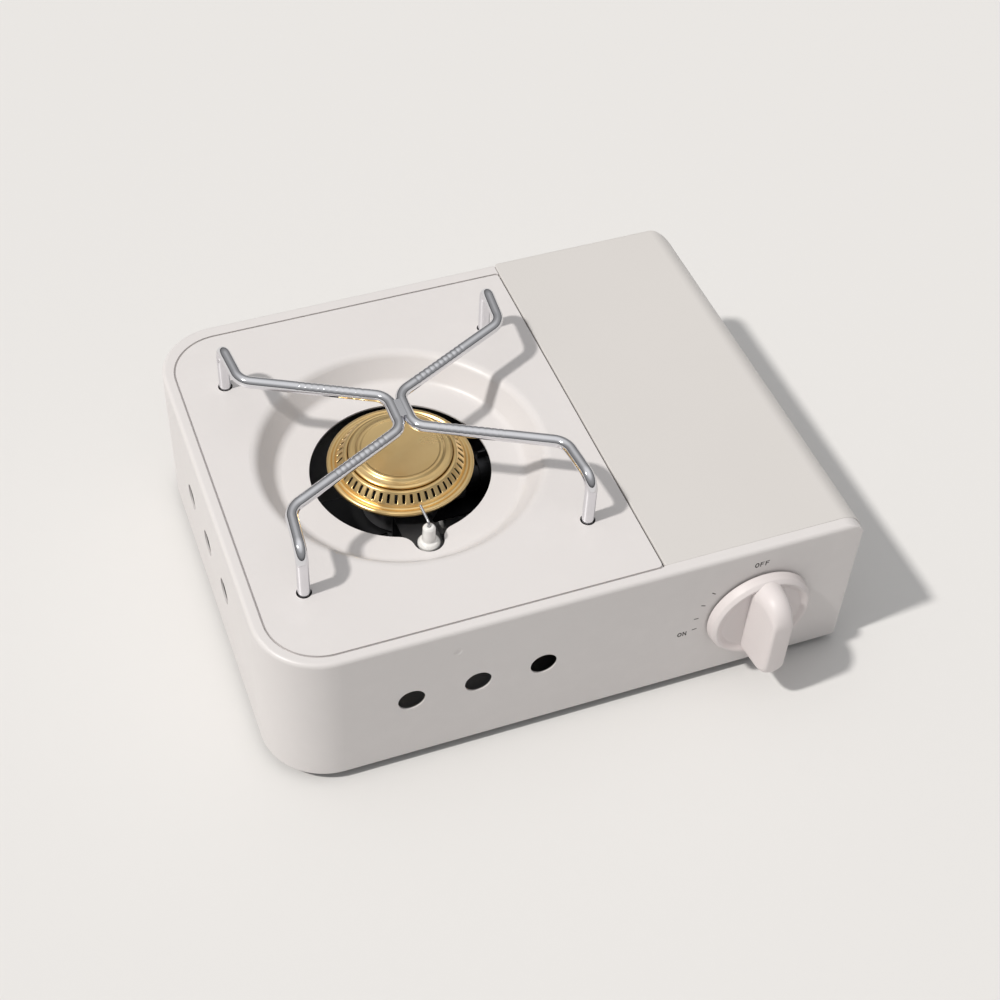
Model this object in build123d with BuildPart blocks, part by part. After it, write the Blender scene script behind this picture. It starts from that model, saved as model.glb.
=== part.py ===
from build123d import *
from math import cos, hypot, radians, sin
import os

# Camping stove: one burner on the left, a butane cartridge bay under a hinged lid on the right.
# Millimetres. Origin at the bottom centre of the whole object, +X right, +Y to the back, +Z up.

# ---- driving dimensions -------------------------------------------------------------------------
BODY_W, BODY_D, BODY_H = 255.0, 202.0, 73.0   # steel body: width, depth, hem to rim
FOOT_H = 5.0                                  # rubber feet under the body
KNOB_REACH = 22.0                             # knob, ahead of the front wall
LID_OVER = 1.0                                # lid, outside the body on the right
LID_BACK = 1.4                                # lid, behind the rear wall
SHEET = 0.8                                   # steel sheet
HEM = 1.6                                     # folded sheet, two layers
LEFT_R, REAR_RIGHT_R, FRONT_RIGHT_R = 28.0, 14.0, 2.5   # upright corners of the body
SHOULDER_R = 9.0                              # rounded right shoulder, seen from the front

LEFT = -(BODY_W + LID_OVER) / 2
RIGHT = LEFT + BODY_W
FRONT = KNOB_REACH - (BODY_D + LID_BACK + KNOB_REACH) / 2
REAR = FRONT + BODY_D
HEM_Z = FOOT_H
FLOOR_Z = HEM_Z + SHEET
TOP = HEM_Z + BODY_H
MID_X, MID_Y = (LEFT + RIGHT) / 2, (FRONT + REAR) / 2

# top plate, let into the rim on the left
RIM_L, RIM_F, RIM_B = 5.2, 4.8, 7.0           # rim strip: left, front, rear
PLATE_W = 160.4                               # plate opening, left to right
SEAM = 0.45                                   # half of the seam round the plate
LEDGE = 4.0                                   # ledge under the plate's edge
PLATE_L = LEFT + RIM_L
PLATE_R = PLATE_L + PLATE_W
PLATE_F, PLATE_B = FRONT + RIM_F, REAR - RIM_B
PLATE_R_CORNER = LEFT_R - RIM_L
BURNER_X, BURNER_Y = (PLATE_L + PLATE_R) / 2, (PLATE_F + PLATE_B) / 2
PAN_RIM_R, PAN_WALL_R, PAN_FLOOR_R, PAN_DEPTH = 66.5, 61.8, 53.5, 11.0
HOLE_R, LOBE_R, LOBE_X, LOBE_Y = 39.2, 6.6, -1.6, -42.3

# pot support, two bent rods
ROD_R = 2.6
ROD_Z = TOP + 23.6
LEG_X, LEG_Y, ELBOW_X, ELBOW_Y, WAIST_Y = 60.6, 61.7, 58.6, 38.4, 9.8
LEG_HOLE_R = 3.2

# burner, at the middle of the plate
BEAD_R, BEAD_Z = 31.6, TOP - 6.6
CAP_R = 22.4
SLOT_COUNT = 50
TUBE_Z, TUBE_R = TOP - 25.0, 8.0
BOWL_BOTTOM = TOP - 35.0

# cartridge bay
LID_L = PLATE_R + SEAM
BAY_X = LEFT + 210.0
CAN_R, CAN_Z = 33.75, 42.5
WEB_X = LEFT + 163.0                          # upright web between burner chamber and bay
HINGE_R, ROD_PIN_R = 2.4, 1.3
HINGE_X, HINGE_Z = RIGHT + LID_OVER - HINGE_R, TOP - 26.0
LIP = 5.0                                     # folded edges of the lid

# gas controls, between the front wall and the cartridge
KNOB_Z = TOP - 38.0
SPINDLE_R = 3.0
CAP_Y0, GOV_Y0, GOV_Y1 = FRONT + 4.9, FRONT + 7.2, FRONT + 17.0
CAM_LOW, CAM_RISE, CAM_TURN = 6.0, 4.0, 95.0

VENT_R, VENT_PITCH = 5.8, 28.4
VENT_Z = TOP - 36.4
SIDE_VENT_Y = FRONT + 107.0

BURNER = (BURNER_X, BURNER_Y)


def named(builder, label):
    """Label a finished piece and write it as parts/LABEL.step."""
    builder.part.label = label
    export_step(builder.part, f"parts/{label}.step")


def box_between(low, high, mode=Mode.ADD):
    """A block between two opposite corners."""
    size = [b - a for a, b in zip(low, high)]
    with Locations(tuple((a + b) / 2 for a, b in zip(low, high))):
        Box(*size, mode=mode)


def corner(outline, x_end, y_end):
    """One corner of a sketch: the left (0) or right (-1) end, then its low (0) or high (-1) end."""
    return outline.vertices().group_by(Axis.X)[x_end].sort_by(Axis.Y)[y_end]


def plan_outline(z, inset=0.0):
    """The body seen from above: round left corners, a small round at the right ones."""
    with BuildSketch(Plane.XY.offset(z)) as outline:
        with Locations((MID_X, MID_Y)):
            Rectangle(BODY_W - 2 * inset, BODY_D - 2 * inset)
        fillet(outline.vertices().group_by(Axis.X)[0], LEFT_R - inset)
        fillet(corner(outline, -1, -1), REAR_RIGHT_R - inset)
        fillet(corner(outline, -1, 0), max(FRONT_RIGHT_R - inset, 1.0))
    return outline.sketch


def front_outline(x_right, z_top, radius, y=0.0, x_left=LEFT - 5, z_low=HEM_Z - 5):
    """The body seen from the front, with its rounded right shoulder."""
    with BuildSketch(Plane.XZ.offset(-y)) as outline:
        with Locations(((x_left + x_right) / 2, (z_low + z_top) / 2)):
            Rectangle(x_right - x_left, z_top - z_low)
        fillet(corner(outline, -1, -1), radius)
    return outline.sketch


def plate_outline(z, inset=0.0):
    """The opening for the top plate: round left corners, nearly square right ones."""
    left, right = PLATE_L + inset, PLATE_R - inset
    front, back = PLATE_F + inset, PLATE_B - inset
    with BuildSketch(Plane.XY.offset(z)) as outline:
        with Locations(((left + right) / 2, (front + back) / 2)):
            Rectangle(right - left, back - front)
        fillet(outline.vertices().group_by(Axis.X)[0], PLATE_R_CORNER - inset)
        fillet(outline.vertices().group_by(Axis.X)[-1], 2.0)
    return outline.sketch


def shell_block(inset, z_low, z_top):
    """The solid form of the body, pulled in by inset."""
    with BuildPart() as block:
        extrude(plan_outline(z_low, inset), amount=z_top - z_low)
        if inset == 0:
            top_edges = block.edges().group_by(Axis.Z)[-1]
            fillet([e for e in top_edges if e.center().X < RIGHT - 1], 1.8)
        side = front_outline(RIGHT - inset, z_top, SHOULDER_R - inset, REAR + 5)
        extrude(side, amount=BODY_D + 10, mode=Mode.INTERSECT)
    return block.part


def front_holes(centres, radius, depth=4.0):
    """Round holes through the front wall at (x, z) centres."""
    with BuildSketch(Plane.XZ.offset(-FRONT + 1)) as holes:
        with Locations(*centres):
            Circle(radius)
    extrude(holes.sketch, amount=-depth, mode=Mode.SUBTRACT)


os.makedirs("parts", exist_ok=True)

# ---- body ---------------------------------------------------------------------------------------
cavity = shell_block(SHEET, HEM_Z - 1, TOP - HEM)

# room that the lid takes from the body, behind the front rim
with BuildPart() as lid_room:
    room = front_outline(RIGHT + 5, TOP + 5, 1, REAR + 5, LID_L - SEAM, HINGE_Z - HINGE_R - 0.5)
    extrude(room, amount=REAR + 5 - (PLATE_F + SEAM))
    kept = front_outline(RIGHT - 0.3, TOP - 1.3, SHOULDER_R - 0.4, REAR + 6)
    extrude(kept, amount=BODY_D + 20, mode=Mode.SUBTRACT)

KNUCKLE_Y = (FRONT + 34, REAR - 40)           # the body's two knuckles, the lid's lie between
KNUCKLE_L = 16.0

with BuildPart() as body_shell:
    add(shell_block(0.0, HEM_Z, TOP))
    add(cavity, mode=Mode.SUBTRACT)
    add(lid_room.part, mode=Mode.SUBTRACT)
    # the pocket and its ledge for the top plate
    extrude(plate_outline(TOP - SHEET, -SEAM), amount=5, mode=Mode.SUBTRACT)
    extrude(plate_outline(TOP - 3, LEDGE), amount=5, mode=Mode.SUBTRACT)
    groove_z = TOP - SHEET - 0.5
    extrude(plate_outline(groove_z, -SEAM) - plate_outline(groove_z, SEAM), amount=1, mode=Mode.SUBTRACT)
    # the open top of the bay, and its open right side above the hinge
    mouth_l, mouth_r, mouth_f, mouth_b = LID_L - SEAM, RIGHT - SHEET, PLATE_F + SEAM, REAR - SHEET
    with BuildSketch(Plane.XY.offset(TOP - 3)) as bay_mouth:
        with Locations(((mouth_l + mouth_r) / 2, (mouth_f + mouth_b) / 2)):
            Rectangle(mouth_r - mouth_l, mouth_b - mouth_f)
        fillet(corner(bay_mouth, -1, -1), REAR_RIGHT_R - SHEET)
    extrude(bay_mouth.sketch, amount=4, mode=Mode.SUBTRACT)
    box_between((RIGHT - 12, PLATE_F + SEAM, HINGE_Z - HINGE_R - 0.5), (RIGHT + 2, REAR - 11, TOP + 1),
                Mode.SUBTRACT)
    # rolled knuckles on the right wall
    for y in KNUCKLE_Y:
        with Locations(Location((HINGE_X, y, HINGE_Z), (90, 0, 0))):
            Cylinder(HINGE_R, KNUCKLE_L)
        box_between((RIGHT - SHEET, y - KNUCKLE_L / 2, HINGE_Z - HINGE_R - 1),
                    (RIGHT, y + KNUCKLE_L / 2, HINGE_Z))
        with Locations(Location((HINGE_X, y, HINGE_Z), (90, 0, 0))):
            Cylinder(ROD_PIN_R, KNUCKLE_L + 2, mode=Mode.SUBTRACT)
    # air holes: three in front, three behind, three on the left
    vent_xs = [BURNER_X + k * VENT_PITCH for k in (-1, 0, 1)]
    front_holes([(x, VENT_Z) for x in vent_xs], VENT_R)
    front_holes([(BAY_X, KNOB_Z)], 4.0)
    with BuildSketch(Plane.XZ.offset(-REAR - 1)):
        with Locations(*[(x, VENT_Z) for x in vent_xs]):
            Circle(VENT_R)
    extrude(amount=4, mode=Mode.SUBTRACT)
    with BuildSketch(Plane.YZ.offset(LEFT - 1)):
        with Locations(*[(SIDE_VENT_Y + k * VENT_PITCH, VENT_Z) for k in (-1, 0, 1)]):
            Circle(VENT_R)
    extrude(amount=4, mode=Mode.SUBTRACT)
    # a small pressed dimple under the front rim
    with Locations((LEFT + 76, FRONT - 4.6, TOP - 12.7)):
        Sphere(5.0, mode=Mode.SUBTRACT)
named(body_shell, "body_shell")

foot_spots = {
    "foot_front_left": (LEFT + 24, FRONT + 24),
    "foot_front_right": (RIGHT - 16, FRONT + 16),
    "foot_rear_left": (LEFT + 24, REAR - 24),
    "foot_rear_right": (RIGHT - 16, REAR - 16),
}
PAN_LIP = 8.0
with BuildPart() as base_pan:
    extrude(plan_outline(HEM_Z, SHEET), amount=PAN_LIP)
    extrude(plan_outline(FLOOR_Z, 2 * SHEET), amount=PAN_LIP, mode=Mode.SUBTRACT)
    with BuildSketch(Plane.XY.offset(HEM_Z)):
        with Locations(BURNER):
            with GridLocations(16, 44, 6, 2):
                SlotOverall(26, 5, rotation=90)
    extrude(amount=SHEET, mode=Mode.SUBTRACT)
    with Locations(*[(x, y, HEM_Z) for x, y in foot_spots.values()]):
        Cylinder(1.5, 4, mode=Mode.SUBTRACT)
named(base_pan, "base_pan")

for foot_name, spot in foot_spots.items():
    with BuildPart() as foot:
        with Locations((*spot, FOOT_H / 2)):
            Cylinder(8.0, FOOT_H)
        fillet(foot.edges().group_by(Axis.Z)[0], 1.5)
        with Locations((*spot, 0)):
            Cylinder(3.0, 2.6, align=(Align.CENTER, Align.CENTER, Align.MIN), mode=Mode.SUBTRACT)
            Cylinder(1.5, FOOT_H, align=(Align.CENTER, Align.CENTER, Align.MIN), mode=Mode.SUBTRACT)
    named(foot, foot_name)

with BuildPart() as foot_screws:
    for spot in foot_spots.values():
        with Locations((*spot, 1.0)):
            Cylinder(2.8, 1.6, align=(Align.CENTER, Align.CENTER, Align.MIN))
            Cylinder(1.5, FLOOR_Z + 1.0, align=(Align.CENTER, Align.CENTER, Align.MIN))
        with Locations((*spot, FLOOR_Z)):
            Cylinder(2.8, 2.0, align=(Align.CENTER, Align.CENTER, Align.MIN))
named(foot_screws, "foot_screws")

FLANGE_Z = TOP - HEM
with BuildPart() as bay_partition:
    box_between((WEB_X, FRONT + 2 * SHEET, FLOOR_Z), (WEB_X + SHEET, REAR - 2 * SHEET, FLANGE_Z))
    box_between((WEB_X - 3, PLATE_F + 6, FLANGE_Z - SHEET), (WEB_X, PLATE_B - 6, FLANGE_Z))
    box_between((WEB_X - 5, FRONT + 12, FLOOR_Z), (WEB_X, REAR - 12, FLOOR_Z + SHEET))
    for y in (BURNER_Y - 45, BURNER_Y, BURNER_Y + 45):
        box_between((WEB_X - 1, y - 12, TOP - 24), (WEB_X + 2, y + 12, TOP - 19), Mode.SUBTRACT)
    with Locations(Location((WEB_X, FRONT + 12, TOP - 33), (0, 90, 0))):
        Cylinder(4.0, 8, mode=Mode.SUBTRACT)
    with Locations(Location((WEB_X, FRONT + 4.2, KNOB_Z), (0, 90, 0))):
        Cylinder(2.0, 8, mode=Mode.SUBTRACT)
named(bay_partition, "bay_partition")

# ---- top plate ----------------------------------------------------------------------------------
with BuildPart() as top_plate:
    extrude(plate_outline(TOP - SHEET, SEAM), amount=SHEET)
    with Locations((*BURNER, TOP)):
        Cylinder(PAN_RIM_R, 4, mode=Mode.SUBTRACT)
    # the dished pan: a flat ring, a rounded wall and a flat floor
    with BuildSketch(Plane.XZ.offset(-BURNER_Y)):
        with BuildLine() as pan_line:
            mid = SHEET / 2
            FilletPolyline(
                (BURNER_X + PAN_RIM_R, TOP - mid), (BURNER_X + PAN_WALL_R, TOP - mid),
                (BURNER_X + PAN_FLOOR_R, TOP - PAN_DEPTH - mid), (BURNER_X + 30, TOP - PAN_DEPTH - mid),
                radius=5.0)
        trace(pan_line.edges(), SHEET)
    revolve(axis=Axis((*BURNER, 0), (0, 0, 1)))
    # the burner opening, with a lobe in front for the igniter
    with BuildSketch(Plane.XY.offset(TOP - PAN_DEPTH - 3)):
        with Locations(BURNER):
            Circle(HOLE_R)
        with Locations((BURNER_X + LOBE_X, BURNER_Y + LOBE_Y / 2)):
            Rectangle(2 * LOBE_R, -LOBE_Y)
        with Locations((BURNER_X + LOBE_X, BURNER_Y + LOBE_Y)):
            Circle(LOBE_R)
    extrude(amount=6, mode=Mode.SUBTRACT)
    necks = [e for e in top_plate.edges().filter_by(Axis.Z)
             if abs(hypot(e.center().X - BURNER_X, e.center().Y - BURNER_Y) - HOLE_R) < 0.01]
    fillet([e for e in necks if e.center().Y < BURNER_Y - 30], 7.0)
    with Locations(*[(BURNER_X + sx * LEG_X, BURNER_Y + sy * LEG_Y, TOP)
                     for sx in (-1, 1) for sy in (-1, 1)]):
        Cylinder(LEG_HOLE_R, 5, mode=Mode.SUBTRACT)
named(top_plate, "top_plate")


# ---- pot support --------------------------------------------------------------------------------
def support_rod(side):
    """One bent rod: leg, arm, waist beside the middle, arm, leg. side is -1 left, 1 right."""
    leg_foot = TOP - 8
    legs = [(LEG_X, -LEG_Y, leg_foot), (LEG_X, -LEG_Y, ROD_Z), (ELBOW_X, -ELBOW_Y, ROD_Z),
            (ROD_R, -WAIST_Y, ROD_Z)]
    points = legs + [(x, -y, z) for x, y, z in reversed(legs)]
    points = [(BURNER_X + side * x, BURNER_Y + y, z) for x, y, z in points]
    with BuildPart() as rod:
        with BuildLine() as path:
            FilletPolyline(*points, radius=[6.0, 9.0, 8.0, 8.0, 9.0, 6.0])
        with BuildSketch(Plane(points[0], z_dir=(0, 0, 1))):
            Circle(ROD_R)
        sweep(path=path.wire())
    return rod


named(support_rod(-1), "pot_support_left_rod")
named(support_rod(1), "pot_support_right_rod")

with BuildPart() as support_weld:
    with Locations((*BURNER, ROD_Z)):
        Box(3.0, 10.0, 4.6)
    with Locations(*[Location((BURNER_X + side * ROD_R, BURNER_Y, ROD_Z), (90, 0, 0)) for side in (-1, 1)]):
        Cylinder(ROD_R, 12, mode=Mode.SUBTRACT)
named(support_weld, "pot_support_weld")

# ---- burner -------------------------------------------------------------------------------------
BURNER_AXIS = Axis((*BURNER, 0), (0, 0, 1))


def turned(points):
    """Revolve a closed (radius, height above the rim) outline about the burner's axis."""
    with BuildSketch(Plane.XZ.offset(-BURNER_Y)) as outline:
        with BuildLine():
            Polyline(*[(BURNER_X + r, TOP + z) for r, z in points], close=True)
        make_face()
    revolve(outline.sketch, axis=BURNER_AXIS)


BEAD = BEAD_Z - TOP
with BuildPart() as burner_port_ring:
    turned([(BEAD_R - 1.2, BEAD - 1.2), (BEAD_R, BEAD - 0.4), (BEAD_R, BEAD + 0.6),
            (BEAD_R - 0.9, BEAD + 1.3), (29.2, BEAD + 1.0), (28.2, BEAD + 1.4), (27.6, BEAD + 2.4),
            (24.4, -0.7), (23.8, -0.4), (22.8, -0.4), (22.8, -1.6), (23.4, -1.7),
            (26.4, BEAD + 1.6), (26.4, BEAD - 1.2)])
    with Locations((*BURNER, TOP - 2.5)):
        with PolarLocations(26.2, SLOT_COUNT):
            Box(5.0, 0.95, 3.4, mode=Mode.SUBTRACT)
named(burner_port_ring, "burner_port_ring")

with BuildPart() as burner_cap:
    turned([(0, 1.6), (16.8, 1.6), (17.4, 2.0), (18.6, 2.0), (19.4, 1.3), (20.6, 1.1), (21.2, 0.5),
            (CAP_R, 0.2), (CAP_R + 1.0, -0.4), (21.8, -0.4), (21.8, -2.0), (20.6, -2.0), (20.6, -0.4),
            (17.4, 0.4), (0, 0.4)])
named(burner_cap, "burner_cap")

BOWL_LOW = BOWL_BOTTOM - TOP
with BuildPart() as burner_bowl:
    turned([(0, BOWL_LOW), (15, BOWL_LOW), (17, BOWL_LOW + 2), (17, -17), (25.8, BEAD - 3.2),
            (29.6, BEAD - 2.8), (29.6, BEAD - 1.2), (25.6, BEAD - 1.2), (15, -15.5),
            (15, BOWL_LOW + 2), (0, BOWL_LOW + 2)])
    with Locations(Location((BURNER_X + 21, BURNER_Y, TUBE_Z), (0, 90, 0))):
        Cylinder(TUBE_R + 1.6, 12)
        Cylinder(TUBE_R, 20, mode=Mode.SUBTRACT)
    with Locations(*[(BURNER_X + dx, BURNER_Y, BOWL_BOTTOM) for dx in (-9, 9)]):
        Cylinder(1.6, 5, mode=Mode.SUBTRACT)
named(burner_bowl, "burner_bowl")

TUBE_X0, TUBE_X1 = BURNER_X + 15.5, BURNER_X + 58
with BuildPart() as mixing_tube:
    with BuildSketch(Plane.XZ.offset(-BURNER_Y)):
        with BuildLine():
            r = TUBE_R
            Polyline((TUBE_X0, TUBE_Z + r), (TUBE_X1 - 12, TUBE_Z + r), (TUBE_X1, TUBE_Z + r + 2),
                     (TUBE_X1, TUBE_Z + r + 0.8), (TUBE_X1 - 12, TUBE_Z + r - 1.2),
                     (TUBE_X0, TUBE_Z + r - 1.2), close=True)
        make_face()
    revolve(axis=Axis((0, BURNER_Y, TUBE_Z), (1, 0, 0)))
    for angle in (0, 120, 240):
        turn = Location((TUBE_X1 - 20, BURNER_Y, TUBE_Z), (angle, 0, 0))
        with Locations(turn * Location((0, 0, TUBE_R))):
            Box(9, 6, 4, mode=Mode.SUBTRACT)
named(mixing_tube, "mixing_tube")

with BuildPart() as air_shutter:
    with Locations(Location((TUBE_X1 - 20, BURNER_Y, TUBE_Z), (0, 90, 0))):
        Cylinder(TUBE_R + 0.9, 7)
        Cylinder(TUBE_R, 9, mode=Mode.SUBTRACT)
    with Locations((TUBE_X1 - 20, BURNER_Y, TUBE_Z - TUBE_R)):
        Box(9, 5, 4, mode=Mode.SUBTRACT)
    with Locations((TUBE_X1 - 20, BURNER_Y, TUBE_Z + TUBE_R + 2.5)):
        Box(5, 0.8, 4)
named(air_shutter, "air_shutter")

STRAP_HALF, STRAP_W, STRAP_T = 46.0, 26.0, 1.2
with BuildPart() as burner_bracket:
    box_between((BURNER_X - STRAP_HALF, BURNER_Y - STRAP_W / 2, BOWL_BOTTOM - STRAP_T),
                (BURNER_X + STRAP_HALF, BURNER_Y + STRAP_W / 2, BOWL_BOTTOM))
    for side in (-1, 1):
        x = BURNER_X + side * STRAP_HALF
        box_between((min(x, x - side * STRAP_T), BURNER_Y - STRAP_W / 2, FLOOR_Z),
                    (max(x, x - side * STRAP_T), BURNER_Y + STRAP_W / 2, BOWL_BOTTOM))
        box_between((min(x, x + side * 10), BURNER_Y - STRAP_W / 2, FLOOR_Z),
                    (max(x, x + side * 10), BURNER_Y + STRAP_W / 2, FLOOR_Z + STRAP_T))
    with Locations(*[(BURNER_X + dx, BURNER_Y, BOWL_BOTTOM) for dx in (-9, 9)]):
        Cylinder(1.6, 5, mode=Mode.SUBTRACT)
named(burner_bracket, "burner_bracket")

with BuildPart() as burner_screws:
    for dx in (-9, 9):
        with Locations((BURNER_X + dx, BURNER_Y, BOWL_BOTTOM - STRAP_T - 1.8)):
            Cylinder(3.0, 1.8, align=(Align.CENTER, Align.CENTER, Align.MIN))
            Cylinder(1.6, 6.0, align=(Align.CENTER, Align.CENTER, Align.MIN))
named(burner_screws, "burner_screws")

# ---- gas line -----------------------------------------------------------------------------------
PIPE_R = 2.2
JET_X = TUBE_X1 + 7
PIPE_LOW_Z = TOP - 33
with BuildPart() as jet_holder:
    box_between((JET_X, BURNER_Y - 6, TUBE_Z - 6), (JET_X + 9, BURNER_Y + 6, TUBE_Z + 6))
    fillet(jet_holder.edges().filter_by(Axis.X), 2.0)
    box_between((JET_X + 2, BURNER_Y - 5, FLOOR_Z + STRAP_T), (JET_X + 7, BURNER_Y + 5, TUBE_Z - 5))
    box_between((JET_X - 4, BURNER_Y - 8, FLOOR_Z), (JET_X + 7, BURNER_Y + 8, FLOOR_Z + STRAP_T))
named(jet_holder, "jet_holder")

with BuildPart() as gas_jet:
    with Locations(Location((JET_X - 5, BURNER_Y, TUBE_Z), (0, 90, 0))):
        Cylinder(2.6, 10, align=(Align.CENTER, Align.CENTER, Align.CENTER))
    with BuildSketch(Plane.YZ.offset(JET_X - 3)):
        with Locations((BURNER_Y, TUBE_Z)):
            RegularPolygon(4.2, 6)
    extrude(amount=3)
    with Locations(Location((JET_X - 10, BURNER_Y, TUBE_Z), (0, 90, 0))):
        Cylinder(0.5, 6, mode=Mode.SUBTRACT)
named(gas_jet, "gas_jet")

with BuildPart() as gas_pipe:
    pipe_x = JET_X + 4.5
    with BuildLine() as pipe_path:
        FilletPolyline((pipe_x, BURNER_Y - 6, TUBE_Z), (pipe_x, BURNER_Y - 30, TUBE_Z),
                       (pipe_x, FRONT + 36, PIPE_LOW_Z), (pipe_x, FRONT + 12, PIPE_LOW_Z),
                       (BAY_X - 21, FRONT + 12, PIPE_LOW_Z), radius=7.0)
    with BuildSketch(Plane((pipe_x, BURNER_Y - 6, TUBE_Z), z_dir=(0, -1, 0))):
        Circle(PIPE_R)
    sweep(path=pipe_path.wire())
named(gas_pipe, "gas_pipe")

GOV_R = 23.0
SEAT_Y = GOV_Y1 + 1.0
with BuildPart() as governor_body:
    with Locations(Location((BAY_X, (GOV_Y0 + GOV_Y1) / 2, CAN_Z), (90, 0, 0))):
        Cylinder(GOV_R, GOV_Y1 - GOV_Y0)
    fillet(governor_body.edges().group_by(Axis.Y)[-1], 2.0)
    # nose that enters the cartridge's cup
    with Locations(Location((BAY_X, (GOV_Y1 + SEAT_Y + 5) / 2, CAN_Z), (90, 0, 0))):
        Cylinder(10.0, SEAT_Y + 5 - GOV_Y1)
    with BuildSketch(Plane.XZ.offset(-(SEAT_Y + 5))):
        with Locations((BAY_X, CAN_Z)):
            Circle(5.2)
    extrude(amount=9.0, mode=Mode.SUBTRACT)
    # bores for the spindle and for the gas pipe
    with Locations(Location((BAY_X, GOV_Y0, KNOB_Z), (90, 0, 0))):
        Cylinder(SPINDLE_R + 0.05, 6, mode=Mode.SUBTRACT)
    box_between((BAY_X - GOV_R - 1, FRONT + 8, PIPE_LOW_Z - 4),
                (BAY_X - GOV_R + 4, FRONT + 16, PIPE_LOW_Z + 4))
    with Locations(Location((BAY_X - GOV_R + 1, FRONT + 12, PIPE_LOW_Z), (0, 90, 0))):
        Cylinder(PIPE_R, 4, mode=Mode.SUBTRACT)
named(governor_body, "governor_body")

GOV_CAP_R = 19.0
GOV_SCREW_R = 16.0
with BuildPart() as governor_cap:
    with Locations(Location((BAY_X, (CAP_Y0 + GOV_Y0) / 2, CAN_Z), (90, 0, 0))):
        Cylinder(GOV_CAP_R, GOV_Y0 - CAP_Y0)
    chamfer(governor_cap.edges().group_by(Axis.Y)[0], 0.6)
    with Locations(Location((BAY_X, CAP_Y0, KNOB_Z), (90, 0, 0))):
        Cylinder(SPINDLE_R + 0.05, 8, mode=Mode.SUBTRACT)
named(governor_cap, "governor_cap")

with BuildPart() as governor_screws:
    for angle in (45, 135, 225, 315):
        x = BAY_X + GOV_SCREW_R * cos(radians(angle))
        z = CAN_Z + GOV_SCREW_R * sin(radians(angle))
        with Locations(Location((x, CAP_Y0 - 0.5, z), (90, 0, 0))):
            Cylinder(2.2, 1.0)
named(governor_screws, "governor_screws")

with BuildPart() as governor_bracket:
    box_between((BAY_X - 24, GOV_Y1, FLOOR_Z), (BAY_X + 24, GOV_Y1 + 1.0, CAN_Z + 24))
    box_between((BAY_X - 24, GOV_Y1 + 1, FLOOR_Z), (BAY_X + 24, GOV_Y1 + 12, FLOOR_Z + 1.0))
    with Locations(Location((BAY_X, GOV_Y1, CAN_Z), (90, 0, 0))):
        Cylinder(18.0, 6, mode=Mode.SUBTRACT)
named(governor_bracket, "governor_bracket")

with BuildPart() as cartridge_collar:
    with BuildSketch(Plane.XZ.offset(-(SEAT_Y + 1.2))):
        with Locations((BAY_X, CAN_Z)):
            Circle(21.0)
            Circle(13.0, mode=Mode.SUBTRACT)
    extrude(amount=1.2)
    # the key that the cartridge's notch drops over, and two hooks
    box_between((BAY_X - 2.4, SEAT_Y, CAN_Z + 17), (BAY_X + 2.4, SEAT_Y + 5.5, CAN_Z + 20))
    for side in (-1, 1):
        x = BAY_X + side * 19.5
        box_between((x - 1.0, SEAT_Y, CAN_Z - 6), (x + 1.0, SEAT_Y + 4.0, CAN_Z + 4))
named(cartridge_collar, "cartridge_collar")

with BuildPart() as cartridge_seal:
    with Locations(Location((BAY_X, SEAT_Y + 1.1, CAN_Z), (90, 0, 0))):
        Torus(11.3, 1.1)
named(cartridge_seal, "cartridge_seal")

# the saddle that the cartridge lies on
SADDLE_R = CAN_R + 0.9
SADDLE_Y0, SADDLE_Y1 = FRONT + 46, REAR - 22
with BuildPart() as cartridge_cradle:
    with BuildSketch(Plane.XZ.offset(-SADDLE_Y1)):
        with Locations((BAY_X, CAN_Z)):
            Circle(SADDLE_R + 1.0)
            Circle(SADDLE_R, mode=Mode.SUBTRACT)
        with Locations((BAY_X, CAN_Z + 10)):
            Rectangle(120, 75, mode=Mode.SUBTRACT)
    extrude(amount=SADDLE_Y1 - SADDLE_Y0)
    saddle_half = (SADDLE_R ** 2 - 27.5 ** 2) ** 0.5
    for side in (-1, 1):
        x = BAY_X + side * saddle_half
        box_between((x - 1.2, SADDLE_Y0, FLOOR_Z), (x + 1.2, SADDLE_Y1, CAN_Z - 27.6))
        box_between((min(x, x + side * 9), SADDLE_Y0, FLOOR_Z),
                    (max(x, x + side * 9), SADDLE_Y1, FLOOR_Z + 1))
named(cartridge_cradle, "cartridge_cradle")

# ---- igniter ------------------------------------------------------------------------------------
PIEZO_X0, PIEZO_X1 = WEB_X + SHEET + 1.7, LEFT + 189.5
PIEZO_Y0, PIEZO_Y1 = FRONT + 1.0, FRONT + 6.6
PLUNGER_Y = FRONT + 2.9
PLUNGER_R = 1.6
PLUNGER_TIP = BAY_X - CAM_LOW - 0.5
with BuildPart() as piezo_body:
    box_between((PIEZO_X0, PIEZO_Y0, KNOB_Z - 4.5), (PIEZO_X1, PIEZO_Y1, KNOB_Z + 4.5))
    fillet(piezo_body.edges().filter_by(Axis.X), 0.8)
    with Locations(Location((PIEZO_X1, PLUNGER_Y, KNOB_Z), (0, 90, 0))):
        Cylinder(PLUNGER_R + 0.05, 26, mode=Mode.SUBTRACT)
named(piezo_body, "piezo_body")

with BuildPart() as piezo_plunger:
    with Locations(Location((PLUNGER_TIP - PLUNGER_R, PLUNGER_Y, KNOB_Z), (0, 90, 0))):
        Cylinder(PLUNGER_R, 19, align=(Align.CENTER, Align.CENTER, Align.MAX))
    with Locations((PLUNGER_TIP - PLUNGER_R, PLUNGER_Y, KNOB_Z)):
        Sphere(PLUNGER_R)
named(piezo_plunger, "piezo_plunger")

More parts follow.
